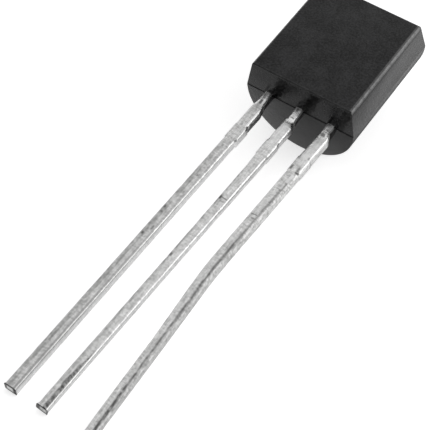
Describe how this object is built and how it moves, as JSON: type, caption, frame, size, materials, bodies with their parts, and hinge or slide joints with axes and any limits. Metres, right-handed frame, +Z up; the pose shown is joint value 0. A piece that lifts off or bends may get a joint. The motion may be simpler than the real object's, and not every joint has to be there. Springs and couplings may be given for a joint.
{
  "type": "to-92 transistor",
  "caption": "Small black moulded transistor with a flat face, a round back and flat-sided tinned leads, lying on its back with the flat face up.",
  "frame": {"origin": "On the surface that the part lies on, under the middle of its bounding box.", "axes": "+Z up; +Y from the lead tips towards the body's top end; +X to the base lead's side. The part lies at rest on its round back and its lead tips, with the flat face up, so the leads run down towards -Y by about 7.3 degrees."},
  "size_m": [0.0044, 0.0186, 0.0038],
  "materials": {
    "body": "black moulded epoxy, fine matt grain with a low sheen",
    "leads": "bright tin plating, softly rounded along its edges",
    "die": "polished silicon",
    "die_attach": "matt silver-filled adhesive",
    "bond_wires": "smooth drawn gold"
  },
  "bodies": {
    "root": {"moulded_body": "body", "emitter_lead": "leads", "collector_lead": "leads", "base_lead": "leads", "die": "die", "die_attach": "die_attach", "emitter_bond_wire": "bond_wires", "base_bond_wire": "bond_wires"}
  },
  "joints": []
}
